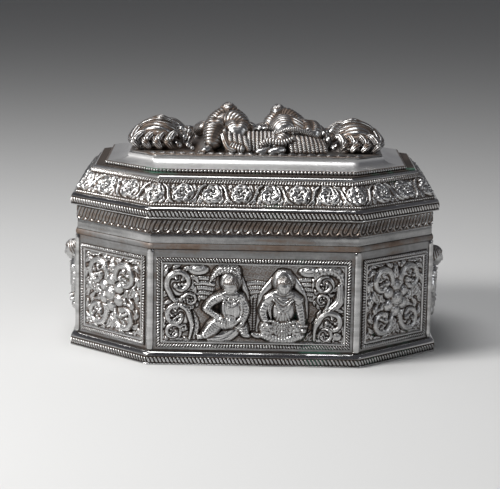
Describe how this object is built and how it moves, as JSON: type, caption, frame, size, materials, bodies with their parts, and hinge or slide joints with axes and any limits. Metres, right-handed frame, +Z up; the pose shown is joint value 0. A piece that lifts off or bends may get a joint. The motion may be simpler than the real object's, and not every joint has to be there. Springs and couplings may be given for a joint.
{
  "type": "betel box",
  "caption": "Oblong octagonal silver betel box with chased panels, a lift-out compartment tray and a domed lift-off lid.",
  "frame": {"origin": "middle of the foot's underside, on the surface that the box stands on", "axes": "+Z up, -Y the front with the two seated figures, +X to the right seen from the front, along the box's length"},
  "size_m": [0.1852, 0.15, 0.1151],
  "materials": {
    "polished_silver": "polished",
    "chased_silver": "chased, darkened in the hollows",
    "plain_silver": "plain"
  },
  "bodies": {
    "box": {"base_plate": "plain_silver", "corner_strip_back_left_a": "polished_silver", "corner_strip_back_left_b": "polished_silver", "corner_strip_back_right_a": "polished_silver", "corner_strip_back_right_b": "polished_silver", "corner_strip_front_left_a": "polished_silver", "corner_strip_front_left_b": "polished_silver", "corner_strip_front_right_a": "polished_silver", "corner_strip_front_right_b": "polished_silver", "foot_moulding": "polished_silver", "foot_rope": "polished_silver", "frame_back": "chased_silver", "frame_back_left": "chased_silver", "frame_back_right": "chased_silver", "frame_front": "chased_silver", "frame_front_left": "chased_silver", "frame_front_right": "chased_silver", "frame_left": "chased_silver", "frame_right": "chased_silver", "inner_collar": "polished_silver", "wall_back": "chased_silver", "wall_back_left": "chased_silver", "wall_back_right": "chased_silver", "wall_front": "chased_silver", "wall_front_left": "chased_silver", "wall_front_right": "chased_silver", "wall_left": "chased_silver", "wall_right": "chased_silver"},
    "tray": {"tray_divider_left": "plain_silver", "tray_divider_right": "plain_silver", "tray_pan": "plain_silver"},
    "lid": {"lid_border": "chased_silver", "lid_crown": "polished_silver", "lid_neck": "polished_silver", "lid_rim": "polished_silver", "lid_rim_rope": "polished_silver", "lid_skirt": "polished_silver", "lid_skirt_wire": "polished_silver", "lid_top_panel": "chased_silver"}
  },
  "joints": [
    {"name": "lid_lift", "type": "slide", "parent": "box", "child": "lid", "axis": [0, 0, 1], "range_m": [0, 0.08]},
    {"name": "tray_lift", "type": "slide", "parent": "box", "child": "tray", "axis": [0, 0, 1], "range_m": [0, 0.013]}
  ]
}
